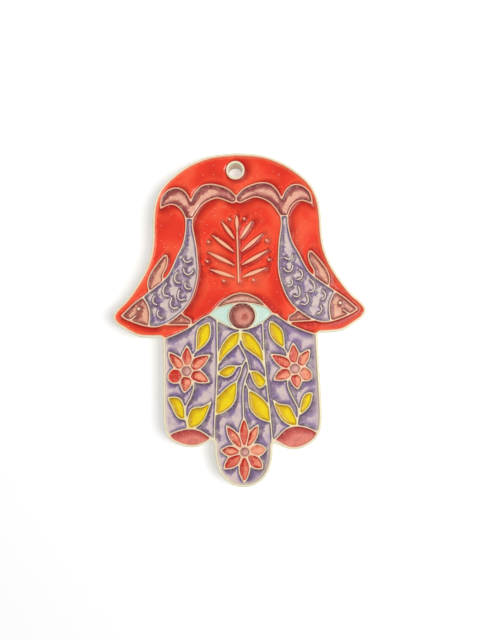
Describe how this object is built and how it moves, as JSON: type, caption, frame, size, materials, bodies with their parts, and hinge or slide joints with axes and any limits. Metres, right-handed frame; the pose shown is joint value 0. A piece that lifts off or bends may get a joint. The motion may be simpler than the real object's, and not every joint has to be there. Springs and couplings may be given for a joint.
{
  "type": "hamsa hand ornament",
  "caption": "Flat-backed fired clay plaque in the outline of a hand, with raised lines that hold pools of coloured glaze and a round hanging hole at the top.",
  "frame": {"origin": "centre of the bounding box's base, on the flat back", "axes": "+Z out of the decorated face, +Y from the fingers towards the hanging hole, +X to the right as seen from the front"},
  "size_m": [0.084, 0.1106, 0.008],
  "materials": {
    "clay": "semi-matt fired clay under a thin clear glaze",
    "red_glaze": "glossy",
    "mauve_glaze": "glossy",
    "lilac_glaze": "glossy",
    "pink_glaze": "glossy",
    "turquoise_white_glaze": "glossy",
    "iris_glaze": "glossy",
    "yellow_glaze": "glossy",
    "salmon_glaze": "glossy",
    "flower_centre_glaze": "glossy",
    "crimson_glaze": "glossy"
  },
  "bodies": {
    "root": {"clay_body": "clay", "red_glaze_field": "red_glaze", "red_glaze_panel": "red_glaze", "left_fish_tail_glaze": "mauve_glaze", "left_fish_body_glaze": "lilac_glaze", "left_fish_head_glaze": "pink_glaze", "left_fish_back_fin_glaze": "pink_glaze", "left_fish_belly_fin_glaze": "pink_glaze", "right_fish_tail_glaze": "mauve_glaze", "right_fish_body_glaze": "lilac_glaze", "right_fish_head_glaze": "pink_glaze", "right_fish_back_fin_glaze": "pink_glaze", "right_fish_belly_fin_glaze": "pink_glaze", "eyelid_glaze": "mauve_glaze", "eye_white_glaze": "turquoise_white_glaze", "iris_glaze": "iris_glaze", "left_finger_ground_glaze": "lilac_glaze", "left_finger_top_leaf_glaze": "yellow_glaze", "left_finger_outer_leaf_glaze": "yellow_glaze", "left_finger_inner_leaf_glaze": "yellow_glaze", "left_finger_petals_glaze": "salmon_glaze", "left_finger_flower_centre_glaze": "flower_centre_glaze", "left_finger_tip_glaze": "crimson_glaze", "right_finger_ground_glaze": "lilac_glaze", "right_finger_top_leaf_glaze": "yellow_glaze", "right_finger_outer_leaf_glaze": "yellow_glaze", "right_finger_inner_leaf_glaze": "yellow_glaze", "right_finger_petals_glaze": "salmon_glaze", "right_finger_flower_centre_glaze": "flower_centre_glaze", "right_finger_tip_glaze": "crimson_glaze", "middle_finger_top_left_leaf_glaze": "yellow_glaze", "middle_finger_top_right_leaf_glaze": "yellow_glaze", "middle_finger_small_left_leaf_glaze": "yellow_glaze", "middle_finger_small_right_leaf_glaze": "yellow_glaze", "middle_finger_bottom_left_leaf_glaze": "yellow_glaze", "middle_finger_bottom_right_leaf_glaze": "yellow_glaze", "middle_finger_ground_glaze": "lilac_glaze", "middle_finger_petals_glaze": "salmon_glaze", "middle_finger_flower_centre_glaze": "flower_centre_glaze"}
  },
  "joints": []
}
